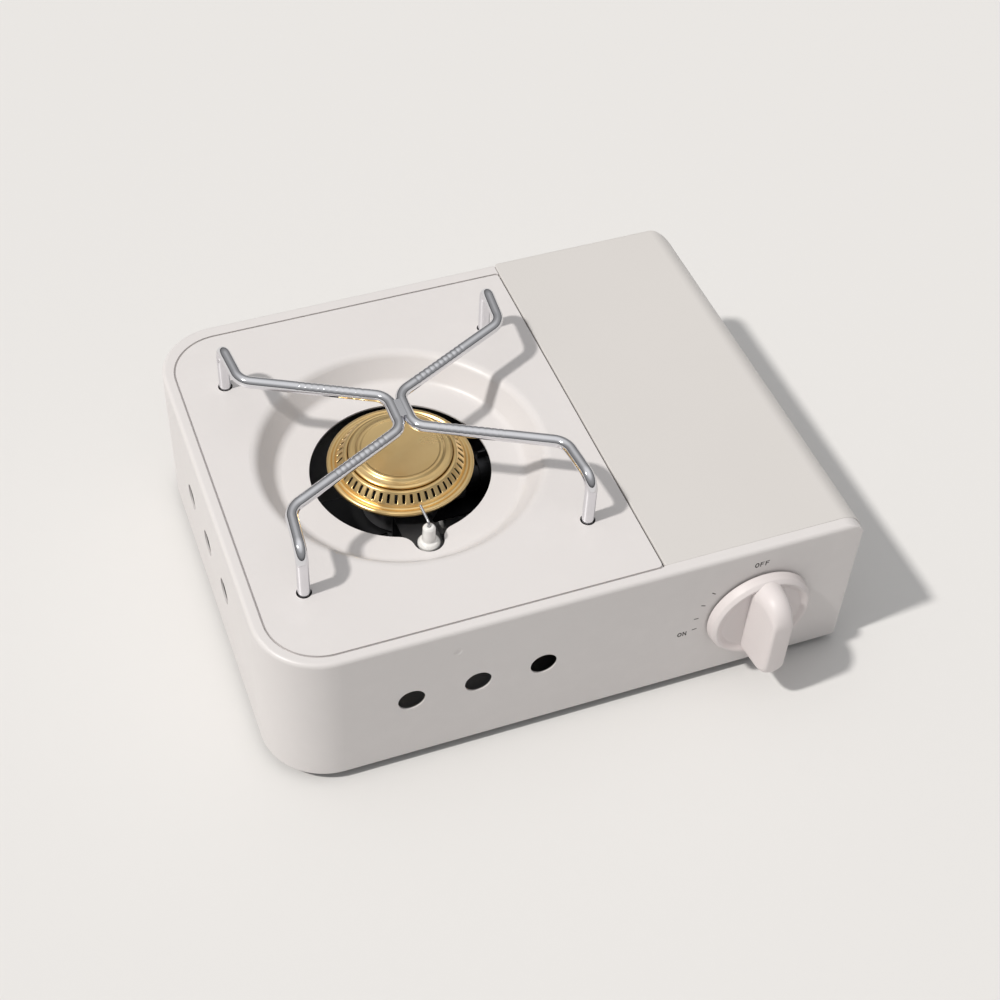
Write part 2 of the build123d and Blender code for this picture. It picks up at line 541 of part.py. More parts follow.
with BuildPart() as piezo_bracket:
    box_between((PIEZO_X0, PIEZO_Y1, FLOOR_Z), (PIEZO_X0 + 14, PIEZO_Y1 + 0.8, KNOB_Z + 4))
    box_between((PIEZO_X0, PIEZO_Y1 + 0.8, FLOOR_Z), (PIEZO_X0 + 14, PIEZO_Y1 + 9, FLOOR_Z + 0.8))
named(piezo_bracket, "piezo_bracket")

SPARK_X, SPARK_Y = BURNER_X - 1.6, BURNER_Y - 42.4
SPARK_BASE = TOP - 12.6
with BuildPart() as electrode_insulator:
    with BuildSketch(Plane.XZ.offset(-SPARK_Y)):
        with BuildLine():
            Polyline((SPARK_X, TOP - 26), (SPARK_X + 2.4, TOP - 26), (SPARK_X + 2.4, SPARK_BASE - 1.4),
                     (SPARK_X + 4.6, SPARK_BASE - 1.0), (SPARK_X + 4.8, SPARK_BASE),
                     (SPARK_X + 4.2, SPARK_BASE + 1.6), (SPARK_X + 3.1, SPARK_BASE + 2.2),
                     (SPARK_X + 2.6, SPARK_BASE + 9.4), (SPARK_X + 1.7, SPARK_BASE + 10.2),
                     (SPARK_X, SPARK_BASE + 10.2), close=True)
        make_face()
    revolve(axis=Axis((SPARK_X, SPARK_Y, 0), (0, 0, 1)))
    with Locations((SPARK_X, SPARK_Y, TOP - 14)):
        Cylinder(0.6, 40, mode=Mode.SUBTRACT)
named(electrode_insulator, "electrode_insulator")

with BuildPart() as electrode_wire:
    spark_end = (SPARK_X - 0.8, BURNER_Y - BEAD_R - 1.8, TOP + 1.0)
    with BuildLine() as wire_path:
        FilletPolyline((SPARK_X, SPARK_Y, TOP - 28), (SPARK_X, SPARK_Y, TOP - 0.8), spark_end, radius=2.0)
    with BuildSketch(Plane.XY.offset(TOP - 28)):
        with Locations((SPARK_X, SPARK_Y)):
            Circle(0.6)
    sweep(path=wire_path.wire())
named(electrode_wire, "electrode_wire")

with BuildPart() as electrode_bracket:
    tab_z = SPARK_BASE - 2.4
    box_between((SPARK_X - 9, SPARK_Y - 4.5, tab_z), (SPARK_X + 6, SPARK_Y + 22, tab_z + 1.0))
    box_between((SPARK_X - 9, SPARK_Y + 21, tab_z - 16), (SPARK_X + 6, SPARK_Y + 22, tab_z + 1.0))
    box_between((SPARK_X - 9, SPARK_Y + 21, BOWL_BOTTOM), (SPARK_X + 6, SPARK_Y + 22, tab_z))
    box_between((SPARK_X - 9, SPARK_Y + 21, BOWL_BOTTOM), (SPARK_X + 6, BURNER_Y - 10, BOWL_BOTTOM + 1.0))
    with Locations((SPARK_X, SPARK_Y, tab_z)):
        Cylinder(2.4, 8, mode=Mode.SUBTRACT)
    with Locations((*BURNER, BOWL_BOTTOM)):
        Cylinder(17.0, 70, mode=Mode.SUBTRACT)
named(electrode_bracket, "electrode_bracket")

with BuildPart() as ignition_lead:
    lead_points = [(PIEZO_X0, FRONT + 4.2, KNOB_Z), (PIEZO_X0 - 18, FRONT + 4.2, KNOB_Z),
                   (PIEZO_X0 - 44, FRONT + 12, KNOB_Z - 6), (SPARK_X + 14, FRONT + 30, KNOB_Z - 12),
                   (SPARK_X, SPARK_Y, KNOB_Z - 11), (SPARK_X, SPARK_Y, TOP - 28)]
    with BuildLine() as lead_path:
        FilletPolyline(*lead_points, radius=6.0)
    with BuildSketch(Plane(lead_points[0], z_dir=(-1, 0, 0))):
        Circle(1.1)
    sweep(path=lead_path.wire())
named(ignition_lead, "ignition_lead")

# ---- knob ---------------------------------------------------------------------------------------
with BuildPart() as valve_spindle:
    with Locations(Location((BAY_X, FRONT + 8.6, KNOB_Z), (90, 0, 0))):
        Cylinder(SPINDLE_R, 22.6, align=(Align.CENTER, Align.CENTER, Align.MIN))
named(valve_spindle, "valve_spindle")

# snail cam: its radius on the left grows evenly with the knob's turn
with BuildPart() as igniter_cam:
    with BuildSketch(Plane.XZ.offset(-(FRONT + 4.0))):
        with BuildLine():
            steps = 10
            rise = [(180 - k * CAM_TURN / steps, CAM_LOW + k * CAM_RISE / steps) for k in range(steps + 1)]
            Spline(*[(BAY_X + r * cos(radians(a)), KNOB_Z + r * sin(radians(a))) for a, r in rise])
            end_a, end_r = rise[-1]
            crest = (BAY_X + end_r * cos(radians(end_a)), KNOB_Z + end_r * sin(radians(end_a)))
            back_a = end_a - 28
            back = (BAY_X + CAM_LOW * cos(radians(back_a)), KNOB_Z + CAM_LOW * sin(radians(back_a)))
            Line(crest, back)
            low_a = radians((back_a + 180 - 360) / 2)
            ThreePointArc(back, (BAY_X + CAM_LOW * cos(low_a), KNOB_Z + CAM_LOW * sin(low_a)),
                          (BAY_X - CAM_LOW, KNOB_Z))
        make_face()
        with Locations((BAY_X, KNOB_Z)):
            Circle(SPINDLE_R, mode=Mode.SUBTRACT)
    extrude(amount=2.2)
named(igniter_cam, "igniter_cam")

KNOB_R, SKIRT_T, GRIP_W = 23.2, 5.4, 13.6
KNOB_BACK = FRONT - 0.8
with BuildPart() as knob:
    with BuildSketch(Plane.XZ.offset(-KNOB_BACK)):
        with Locations((BAY_X, KNOB_Z)):
            Circle(KNOB_R)
    extrude(amount=SKIRT_T, taper=6)
    fillet(knob.edges().group_by(Axis.Y)[0], 1.4)
    with BuildSketch(Plane.XZ.offset(-(KNOB_BACK - SKIRT_T + 1))):
        with Locations((BAY_X, KNOB_Z)):
            SlotOverall(2 * KNOB_R - 1.5, GRIP_W, rotation=90)
    grip_reach = KNOB_REACH - 0.8 - SKIRT_T + 1
    extrude(amount=grip_reach, taper=9)
    fillet(knob.edges().group_by(Axis.Y)[0], 2.0)
    with Locations(Location((BAY_X, KNOB_BACK + 1, KNOB_Z), (90, 0, 0))):
        Cylinder(KNOB_R - 2.2, 4.7, align=(Align.CENTER, Align.CENTER, Align.MIN), mode=Mode.SUBTRACT)
        Cylinder(4.6, 13, align=(Align.CENTER, Align.CENTER, Align.MIN))
    with Locations(Location((BAY_X, KNOB_BACK + 2, KNOB_Z), (90, 0, 0))):
        Cylinder(20.0, 3.0, align=(Align.CENTER, Align.CENTER, Align.MIN), mode=Mode.SUBTRACT)
    with Locations(Location((BAY_X, FRONT + 1, KNOB_Z), (90, 0, 0))):
        Cylinder(SPINDLE_R, 15, align=(Align.CENTER, Align.CENTER, Align.MIN), mode=Mode.SUBTRACT)
named(knob, "knob")

# ---- cartridge lid ------------------------------------------------------------------------------
LID_T = 0.9
LID_CORNER_R, LID_REAR_R = 15.0, 2.4
LID_F, LID_B = PLATE_F + SEAM + 0.05, REAR + LID_BACK
LID_RIGHT = RIGHT + LID_OVER


def lid_block(inset, overshoot):
    """The lid's form, pulled in by inset on every side that has a folded edge."""
    low = HINGE_Z - overshoot
    with BuildPart() as block:
        with BuildSketch(Plane.XY.offset(low)) as outline:
            with Locations(((LID_L + LID_RIGHT) / 2, (LID_F + LID_B) / 2)):
                Rectangle(LID_RIGHT - LID_L - 2 * inset, LID_B - LID_F - 2 * inset)
            fillet(corner(outline, -1, -1), LID_CORNER_R - inset)
            fillet(corner(outline, 0, -1), 4.0 - inset)
            fillet(corner(outline, 0, 0), 1.4 - inset)
        extrude(amount=TOP - inset - low)
        if inset == 0:
            top_edges = block.edges().group_by(Axis.Z)[-1]
            fillet([e for e in top_edges if e.center().X < LID_RIGHT - 1], 0.5)
        side = front_outline(LID_RIGHT - inset, TOP - inset, SHOULDER_R + 1 - inset, REAR + 5)
        extrude(side, amount=BODY_D + 10, mode=Mode.INTERSECT)
        with BuildSketch(Plane.YZ.offset(LID_L - 1)) as rear_round:
            with Locations(((LID_F + LID_B) / 2 - inset, (low + TOP) / 2 - inset)):
                Rectangle(LID_B - LID_F, TOP - low)
            fillet(corner(rear_round, -1, -1), LID_REAR_R - inset)
        extrude(rear_round.sketch, amount=LID_RIGHT - LID_L + 2, mode=Mode.INTERSECT)
    return block.part


lid_outer, lid_inner = lid_block(0.0, 0.0), lid_block(LID_T, 5.0)
with BuildPart() as below_lips:
    under = front_outline(LID_RIGHT - LID_T, TOP - LID_T, SHOULDER_R + 1 - LID_T, REAR + 5)
    extrude(under, amount=BODY_D + 10)
    box_between((LEFT - 20, FRONT - 20, TOP - LIP), (RIGHT + 20, REAR + 20, TOP + 5), Mode.SUBTRACT)
with BuildPart() as cartridge_lid:
    add(lid_outer)
    add(lid_inner, mode=Mode.SUBTRACT)
    add(below_lips.part, mode=Mode.SUBTRACT)
    # the left edge is notched to pass over the rear wall
    box_between((LID_L - 1, REAR - SHEET - 0.5, TOP - LIP - 1), (LID_L + 4, REAR + 0.5, TOP - 1.25),
                Mode.SUBTRACT)
    # the rolled lower edge of the skirt, cut away round the body's knuckles
    roll_y0, roll_y1 = LID_F + 0.6, LID_B - LID_CORNER_R - 1.0
    box_between((HINGE_X, LID_F - 1, HINGE_Z - 5), (LID_RIGHT + 1, roll_y0, HINGE_Z + 3), Mode.SUBTRACT)
    box_between((HINGE_X, roll_y1, HINGE_Z - 5), (LID_RIGHT + 1, LID_B, HINGE_Z + 3), Mode.SUBTRACT)
    with Locations(Location((HINGE_X, (roll_y0 + roll_y1) / 2, HINGE_Z), (90, 0, 0))):
        Cylinder(HINGE_R, roll_y1 - roll_y0)
        Cylinder(ROD_PIN_R + 0.06, roll_y1 - roll_y0 + 4, mode=Mode.SUBTRACT)
    for y in KNUCKLE_Y:
        half = KNUCKLE_L / 2 + 0.4
        box_between((HINGE_X - 4, y - half, HINGE_Z - 4), (LID_RIGHT + 2, y + half, HINGE_Z + 3),
                    Mode.SUBTRACT)
named(cartridge_lid, "cartridge_lid")

with BuildPart() as hinge_rod:
    with Locations(Location((HINGE_X, (roll_y0 + roll_y1) / 2, HINGE_Z), (90, 0, 0))):
        Cylinder(ROD_PIN_R, roll_y1 - roll_y0 - 1)
named(hinge_rod, "hinge_rod")

with BuildPart() as lid_magnet:
    box_between((WEB_X + SHEET, MID_Y - 9, TOP - LIP - 7), (LID_L + 2.5, MID_Y + 9, TOP - LIP - 0.4))
    fillet(lid_magnet.edges().filter_by(Axis.Z), 0.5)
named(lid_magnet, "lid_magnet")
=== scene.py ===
from math import cos, hypot, pi, radians, sin

import bmesh
import bpy
from mathutils import Matrix, Vector


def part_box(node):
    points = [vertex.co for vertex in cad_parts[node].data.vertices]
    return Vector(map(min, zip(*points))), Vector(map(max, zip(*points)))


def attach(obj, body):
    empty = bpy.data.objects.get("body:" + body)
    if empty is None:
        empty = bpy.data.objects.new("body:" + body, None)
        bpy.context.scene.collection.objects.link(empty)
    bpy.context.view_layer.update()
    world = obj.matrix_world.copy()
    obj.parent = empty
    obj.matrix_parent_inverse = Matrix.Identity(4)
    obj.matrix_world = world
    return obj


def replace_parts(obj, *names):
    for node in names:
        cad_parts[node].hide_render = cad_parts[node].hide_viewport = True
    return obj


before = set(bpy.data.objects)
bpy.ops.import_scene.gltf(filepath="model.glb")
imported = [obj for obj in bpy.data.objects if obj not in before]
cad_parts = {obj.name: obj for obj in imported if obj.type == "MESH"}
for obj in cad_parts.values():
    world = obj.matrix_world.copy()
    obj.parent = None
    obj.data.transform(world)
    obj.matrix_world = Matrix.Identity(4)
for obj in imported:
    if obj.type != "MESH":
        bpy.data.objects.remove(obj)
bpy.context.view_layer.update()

MM = 0.001


# ---- places read from the frame, in metres ------------------------------------------------------
def middle(node):
    """The middle of a node's box."""
    low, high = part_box(node)
    return (low + high) / 2


shell_low, shell_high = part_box("body_shell")
plate_low, plate_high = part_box("top_plate")
knob_low, knob_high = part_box("knob")
ring_low, ring_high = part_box("burner_port_ring")
TOP = shell_high.z
FRONT = shell_low.y
BURNER = Vector(((plate_low.x + plate_high.x) / 2, (plate_low.y + plate_high.y) / 2, TOP))
KNOB_AXIS = Vector((middle("knob").x, FRONT, middle("knob").z))
KNOB_R = (knob_high.x - knob_low.x) / 2


# ---- mesh helpers -------------------------------------------------------------------------------
def piece(name, bm, material, body, smooth=40):
    """A finished object from a bmesh, riding on a body."""
    mesh = bpy.data.meshes.new(name)
    bmesh.ops.recalc_face_normals(bm, faces=bm.faces)
    bm.to_mesh(mesh)
    bm.free()
    mesh.materials.append(material)
    mesh.shade_smooth()
    mesh.set_sharp_from_angle(angle=radians(smooth))
    obj = bpy.data.objects.new(name, mesh)
    bpy.context.scene.collection.objects.link(obj)
    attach(obj, body)
    return obj


def bridge(bm, first, second):
    """Quads between two rings with the same count of points."""
    count = len(first)
    for i in range(count):
        j = (i + 1) % count
        bm.faces.new((first[i], first[j], second[j], second[i]))


def arc_corner(before, at, after, radius, steps=5):
    """Points that round one corner of an outline in a plane."""
    a, b = (before - at).normalized(), (after - at).normalized()
    half = a.angle(b) / 2
    reach = min(radius / max(1e-6, abs(sin(half) / cos(half))),
                (before - at).length * 0.49, (after - at).length * 0.49)
    r = reach * sin(half) / cos(half)
    centre = at + (a + b).normalized() * (r / sin(half))
    start, end = at + a * reach - centre, at + b * reach - centre
    sweep = start.angle(end)
    points = []
    for k in range(steps + 1):
        t = k / steps
        points.append(centre + (start * sin((1 - t) * sweep) + end * sin(t * sweep)) / sin(sweep))
    return points


def rounded(points, radii, steps=5, closed=False):
    """An outline with its corners rounded; a radius of 0 keeps a corner sharp."""
    points = [Vector(p) for p in points]
    result = []
    count = len(points)
    for i, (at, radius) in enumerate(zip(points, radii)):
        ends = not closed and i in (0, count - 1)
        if ends or radius == 0:
            result.append(at)
        else:
            result += arc_corner(points[i - 1], at, points[(i + 1) % count], radius, steps)
    return result


def turn(bm, profile, centre, axis="Z", count=160, skip=None):
    """Turns an outline of (radius, height) points about an axis through centre.
    skip(ring number, step number) leaves a face out."""
    rings = []
    for radius, height in profile:
        if radius < 1e-7:
            local = [(0.0, 0.0, height)]
        else:
            local = [(radius * cos(2 * pi * k / count), radius * sin(2 * pi * k / count), height)
                     for k in range(count)]
        if axis == "-Y":
            local = [(x, -z, y) for x, y, z in local]
        rings.append([bm.verts.new(centre + Vector(p)) for p in local])
    for n, (a, b) in enumerate(zip(rings, rings[1:])):
        for i in range(count):
            j = (i + 1) % count
            if skip and skip(n, i):
                continue
            if len(a) == 1 and len(b) == 1:
                continue
            if len(a) == 1:
                bm.faces.new((a[0], b[j], b[i]))
            elif len(b) == 1:
                bm.faces.new((a[i], a[j], b[0]))
            else:
                bm.faces.new((a[i], a[j], b[j], b[i]))
    return rings


def tube(bm, path, radius, count=24, shape=None):
    """A round bar along a path. shape(distance, angle) may return a thinner radius there."""
    up = Vector((0, 0, 1))
    first = (path[1] - path[0]).normalized()
    side = first.cross(up)
    if side.length < 0.1:
        side = Vector((1, 0, 0))
    side = (side - first * side.dot(first)).normalized()
    rings, distance = [], 0.0
    for i, point in enumerate(path):
        before = (point - path[i - 1]).normalized() if i else first
        after = (path[i + 1] - point).normalized() if i + 1 < len(path) else before
        along = (before + after).normalized()
        side = (side - along * side.dot(along)).normalized()
        rise = along.cross(side)
        if i:
            distance += (point - path[i - 1]).length
        ring = []
        for k in range(count):
            angle = 2 * pi * k / count
            out = side * cos(angle) + rise * sin(angle)
            r = shape(distance, out) if shape else radius
            ring.append(bm.verts.new(point + out * r))
        rings.append(ring)
    for a, b in zip(rings, rings[1:]):
        bridge(bm, a, b)
    bm.faces.new(rings[0])
    bm.faces.new(list(reversed(rings[-1])))
    return rings


def spaced(path, step):
    """The same path with points no further apart than step."""
    result = [path[0]]
    for a, b in zip(path, path[1:]):
        parts = max(1, int((b - a).length / step + 0.5))
        result += [a.lerp(b, k / parts) for k in range(1, parts + 1)]
    return result


# ---- shader groups ------------------------------------------------------------------------------
def new_group(name, inputs, outputs):
    """An empty node group. inputs maps a socket's name to its default; outputs to its type."""
    group = bpy.data.node_groups.new(name, "ShaderNodeTree")
    for label, value in inputs.items():
        kind = "NodeSocketColor" if isinstance(value, tuple) else "NodeSocketFloat"
        socket = group.interface.new_socket(label, in_out="INPUT", socket_type=kind)
        socket.default_value = value
    for label, kind in outputs.items():
        group.interface.new_socket(label, in_out="OUTPUT", socket_type=kind)
    return group, group.nodes.new("NodeGroupInput"), group.nodes.new("NodeGroupOutput")


def node(tree, kind, inputs=None, **settings):
    """Adds a node, sets its properties, then its inputs: a socket links, a value is set."""
    made = tree.nodes.new(kind)
    for key, value in settings.items():
        setattr(made, key, value)
    for key, value in (inputs or {}).items():
        if isinstance(value, bpy.types.NodeSocket):
            tree.links.new(value, made.inputs[key])
        else:
            made.inputs[key].default_value = value
    return made


def ramp(tree, source, stops):
    """A colour ramp from grey stops of (place, value)."""
    made = node(tree, "ShaderNodeValToRGB", {"Fac": source})
    elements = made.color_ramp.elements
    while len(elements) < len(stops):
        elements.new(0.5)
    for element, (place, value) in zip(elements, stops):
        element.position = place
        element.color = (value, value, value, 1)
    return made.outputs["Color"]


COLOR, FLOAT = "NodeSocketColor", "NodeSocketFloat"


def powder_coat_group():
    """The fine orange-peel skin of stoved paint, with a faint cloudiness in its colour."""
    group, into, out = new_group(
        "powder_coat", {"Colour": (0.8, 0.8, 0.8, 1), "Shade": (0.7, 0.7, 0.7, 1), "Peel Size": 900.0,
                        "Cloud Size": 9.0, "Gloss": 0.4},
        {"Colour": COLOR, "Roughness": FLOAT, "Height": FLOAT})
    place = node(group, "ShaderNodeTexCoord").outputs["Object"]
    peel = node(group, "ShaderNodeTexNoise", {"Vector": place, "Scale": into.outputs["Peel Size"],
                                              "Detail": 2.0, "Roughness": 0.45})
    cloud = node(group, "ShaderNodeTexNoise", {"Vector": place, "Scale": into.outputs["Cloud Size"],
                                               "Detail": 3.0, "Roughness": 0.5})
    soft = ramp(group, cloud.outputs["Fac"], [(0.35, 0.0), (0.7, 1.0)])
    colour = node(group, "ShaderNodeMix", {"Factor": soft, "A": into.outputs["Colour"],
                                           "B": into.outputs["Shade"]}, data_type="RGBA")
    rough = node(group, "ShaderNodeMapRange", {"Value": cloud.outputs["Fac"], "From Min": 0.3,
                                               "From Max": 0.7, "To Min": -0.04, "To Max": 0.05})
    gloss = node(group, "ShaderNodeMath", {0: into.outputs["Gloss"], 1: rough.outputs["Result"]})
    link = group.links.new
    link(colour.outputs["Result"], out.inputs["Colour"])
    link(gloss.outputs["Value"], out.inputs["Roughness"])
    link(peel.outputs["Fac"], out.inputs["Height"])
    return group


def edge_highlight_group():
    """A mask that is 1 along convex outer edges, broken up by noise; it places a painted highlight there.
    """
    group, into, out = new_group("edge_highlight", {"Width": 0.5, "Amount": 0.5, "Grain": 120.0},
                                 {"Mask": FLOAT})
    point = node(group, "ShaderNodeNewGeometry").outputs["Pointiness"]
    place = node(group, "ShaderNodeTexCoord").outputs["Object"]
    noise = node(group, "ShaderNodeTexNoise", {"Vector": place, "Scale": into.outputs["Grain"],
                                               "Detail": 3.0})
    edge = node(group, "ShaderNodeMapRange", {"Value": point, "From Min": 0.52, "From Max": 0.6})
    broken = node(group, "ShaderNodeMapRange", {"Value": noise.outputs["Fac"], "From Min": 0.45,
                                                "From Max": 0.65})
    both = node(group, "ShaderNodeMath", {0: edge.outputs["Result"], 1: broken.outputs["Result"]},
                operation="MULTIPLY")
    much = node(group, "ShaderNodeMath", {0: both.outputs["Value"], 1: into.outputs["Amount"]},
                operation="MULTIPLY", use_clamp=True)
    group.links.new(much.outputs["Value"], out.inputs["Mask"])
    return group


def metal_grain_group():
    """Fine drawn or rolled lines: noise stretched along one direction, with a slow cloud over it."""
    group, into, out = new_group(
        "metal_grain", {"Along X": 1.0, "Along Y": 1.0, "Along Z": 1.0, "Fineness": 900.0,
                        "Roughness": 0.3, "Spread": 0.1},
        {"Roughness": FLOAT, "Height": FLOAT, "Cloud": FLOAT})
    place = node(group, "ShaderNodeTexCoord").outputs["Object"]
    stretch = node(group, "ShaderNodeCombineXYZ",
                   {axis: into.outputs["Along " + axis] for axis in ("X", "Y", "Z")})
    laid = node(group, "ShaderNodeVectorMath", {0: place, 1: stretch.outputs["Vector"]},
                operation="MULTIPLY")
    lines = node(group, "ShaderNodeTexNoise", {"Vector": laid.outputs["Vector"],
                                               "Scale": into.outputs["Fineness"], "Detail": 3.0})
    cloud = node(group, "ShaderNodeTexNoise", {"Vector": place, "Scale": 60.0, "Detail": 4.0})
    centred = node(group, "ShaderNodeMath", {0: cloud.outputs["Fac"], 1: -0.5})
    spread = node(group, "ShaderNodeMath", {0: centred.outputs["Value"], 1: into.outputs["Spread"],
                                            2: into.outputs["Roughness"]}, operation="MULTIPLY_ADD")
    link = group.links.new
    link(spread.outputs["Value"], out.inputs["Roughness"])
    link(lines.outputs["Fac"], out.inputs["Height"])
    link(cloud.outputs["Fac"], out.inputs["Cloud"])
    return group


def lathe_marks_group():
    """Fine rings about the burner's upright axis, as left by spinning or turning."""
    group, into, out = new_group("lathe_marks", {"Centre X": 0.0, "Centre Y": 0.0, "Rings": 9000.0},
                                 {"Height": FLOAT})
    place = node(group, "ShaderNodeTexCoord").outputs["Object"]
    parts = node(group, "ShaderNodeSeparateXYZ", {"Vector": place})
    centre = {"X": "Centre X", "Y": "Centre Y"}
    flat = [node(group, "ShaderNodeMath", {0: parts.outputs[k], 1: into.outputs[label]},
                 operation="SUBTRACT").outputs["Value"] for k, label in centre.items()]
    across = node(group, "ShaderNodeCombineXYZ", {"X": flat[0], "Y": flat[1]})
    radius = node(group, "ShaderNodeVectorMath", {0: across.outputs["Vector"]}, operation="LENGTH")
    rings = node(group, "ShaderNodeTexNoise", {"W": node(group, "ShaderNodeMath", {
        0: radius.outputs["Value"], 1: into.outputs["Rings"]}, operation="MULTIPLY").outputs["Value"],
        "Scale": 1.0, "Detail": 2.0}, noise_dimensions="1D")
    group.links.new(rings.outputs["Fac"], out.inputs["Height"])
    return group


POWDER_COAT, EDGE_HIGHLIGHT = powder_coat_group(), edge_highlight_group()
METAL_GRAIN, LATHE_MARKS = metal_grain_group(), lathe_marks_group()


# ---- materials ----------------------------------------------------------------------------------
def shade_sheet(name, **constants):
    """A material with its own Principled shader; constants are set on the shader's sockets."""
    material = bpy.data.materials.new(name)
    material.use_nodes = True
    tree = material.node_tree
    tree.nodes.clear()
    out = tree.nodes.new("ShaderNodeOutputMaterial")
    shader = tree.nodes.new("ShaderNodeBsdfPrincipled")
    tree.links.new(shader.outputs["BSDF"], out.inputs["Surface"])
    for label, value in constants.items():
        shader.inputs[label.replace("_", " ")].default_value = value
    return material, tree, shader


def use(tree, group, **values):
    """Places a shared group in a material with its own values."""
    made = tree.nodes.new("ShaderNodeGroup")
    made.node_tree = group
    for label, value in values.items():
        made.inputs[label.replace("_", " ")].default_value = value
    return made


def bump(tree, shader, height, depth, strength=0.5):
    """Feeds a height, in metres of depth, to the shader's normal."""
    made = node(tree, "ShaderNodeBump", {"Height": height, "Distance": depth, "Strength": strength})
    tree.links.new(made.outputs["Normal"], shader.inputs["Normal"])
    return made


def painted(name, colour, shade, gloss, depth=0.00003, peel=900.0, **constants):
    """Stoved powder coat, with a painted highlight: convex edges a touch lighter."""
    material, tree, shader = shade_sheet(name, **constants)
    coat = use(tree, POWDER_COAT, Colour=(*colour, 1), Shade=(*shade, 1), Gloss=gloss, Peel_Size=peel)
    edge_highlight_mask = use(tree, EDGE_HIGHLIGHT, Amount=0.25)
    # painted highlight: convex edges lightened to 1.06 times the colour
    light = tuple(min(1.0, c * 1.06) for c in colour)
    mixed = node(tree, "ShaderNodeMix", {"Factor": edge_highlight_mask.outputs["Mask"], "A": coat.outputs["Colour"],
                                         "B": (*light, 1)}, data_type="RGBA")
    tree.links.new(mixed.outputs["Result"], shader.inputs["Base Color"])
    tree.links.new(coat.outputs["Roughness"], shader.inputs["Roughness"])
    bump(tree, shader, coat.outputs["Height"], depth)
    return material


def metal(name, colour, dull, rough, spread=0.12, grain=(1, 1, 1), fineness=900.0, depth=0.00001,
          strength=0.3, **constants):
    """Bare or plated metal: a base colour that dulls in clouds, and fine lines in its surface."""
    material, tree, shader = shade_sheet(name, Metallic=1.0, **constants)
    lines = use(tree, METAL_GRAIN, Along_X=grain[0], Along_Y=grain[1], Along_Z=grain[2],
                Fineness=fineness, Roughness=rough, Spread=spread)
    cloud = ramp(tree, lines.outputs["Cloud"], [(0.35, 0.0), (0.75, 1.0)])
    mixed = node(tree, "ShaderNodeMix", {"Factor": cloud, "A": (*colour, 1), "B": (*dull, 1)},
                 data_type="RGBA")
    tree.links.new(mixed.outputs["Result"], shader.inputs["Base Color"])
    tree.links.new(lines.outputs["Roughness"], shader.inputs["Roughness"])
    bump(tree, shader, lines.outputs["Height"], depth, strength)
    return material


def spun_brass():
    """The burner's polished brass: rings from spinning, and a faint heat tint in clouds."""
    material, tree, shader = shade_sheet("spun_brass", Metallic=1.0)
    lines = use(tree, METAL_GRAIN, Fineness=300.0, Roughness=0.3, Spread=0.16)
    rings = use(tree, LATHE_MARKS, Centre_X=BURNER.x, Centre_Y=BURNER.y, Rings=5200.0)
    cloud = ramp(tree, lines.outputs["Cloud"], [(0.35, 0.0), (0.8, 1.0)])
    mixed = node(tree, "ShaderNodeMix", {"Factor": cloud, "A": (0.95, 0.70, 0.34, 1),
                                         "B": (0.86, 0.59, 0.26, 1)}, data_type="RGBA")
    tree.links.new(mixed.outputs["Result"], shader.inputs["Base Color"])
    tree.links.new(lines.outputs["Roughness"], shader.inputs["Roughness"])
    bump(tree, shader, rings.outputs["Height"], 0.00002, 0.35)
    return material


def moulded(name, colour, shade, rough, depth=0.00002, grain=1600.0, **constants):
    """Moulded plastic, rubber or ceramic: a fine even skin with a little cloudiness."""
    return painted(name, colour, shade, rough, depth, grain, **constants)


BODY_COAT = painted("body_coat", (0.72, 0.692, 0.685), (0.705, 0.677, 0.67), 0.38)
# the lid is the body's paint; its darker colour here is painted shade
LID_COAT_PAINTED_SHADE = painted("lid_coat_painted_shade", (0.665, 0.64, 0.62), (0.65, 0.625, 0.605), 0.40)
CHROME = metal("rod_chrome", (0.80, 0.80, 0.83), (0.72, 0.72, 0.75), 0.09, 0.08, depth=0.000003)
BRASS = spun_brass()
# near-black colour is painted shade for the dark inside of the burner opening
OPENING_SHADE_STEEL = metal("opening_shade_steel", (0.035, 0.036, 0.04), (0.05, 0.05, 0.052), 0.5, depth=0.00002)
DULL_SHEET = metal("dull_sheet", (0.12, 0.12, 0.125), (0.08, 0.08, 0.085), 0.5, grain=(1, 0.05, 1))
ZINC_SHEET = metal("zinc_sheet", (0.34, 0.34, 0.35), (0.27, 0.27, 0.28), 0.42, grain=(1, 0.05, 1))
SCREW_ZINC = metal("screw_zinc", (0.55, 0.55, 0.56), (0.45, 0.45, 0.46), 0.3)
CAST = metal("cast_alloy", (0.30, 0.30, 0.31), (0.22, 0.22, 0.23), 0.55, depth=0.00006, fineness=500.0)
DRAWN_PIPE = metal("drawn_pipe", (0.6, 0.6, 0.61), (0.5, 0.5, 0.51), 0.3, grain=(1, 0.03, 1))
TURNED_BRASS = metal("turned_brass", (0.7, 0.5, 0.22), (0.6, 0.4, 0.17), 0.25)
KNOB_PLASTIC = moulded("knob_plastic", (0.74, 0.69, 0.685), (0.725, 0.675, 0.67), 0.42,
                       Subsurface_Weight=0.0)
CERAMIC = moulded("glazed_ceramic", (0.84, 0.83, 0.81), (0.80, 0.79, 0.77), 0.18, Coat_Weight=0.4)
RUBBER = moulded("foot_rubber", (0.025, 0.025, 0.026), (0.035, 0.035, 0.035), 0.7, 0.00005)
BLACK_PLASTIC = moulded("black_plastic", (0.03, 0.03, 0.032), (0.04, 0.04, 0.042), 0.45)
LEAD_SLEEVE = moulded("lead_sleeve", (0.5, 0.48, 0.45), (0.46, 0.44, 0.41), 0.5)
PALE_PLASTIC = moulded("pale_plastic", (0.7, 0.7, 0.67), (0.66, 0.66, 0.63), 0.4)
PRINT = moulded("dial_print", (0.06, 0.055, 0.05), (0.09, 0.085, 0.08), 0.5)

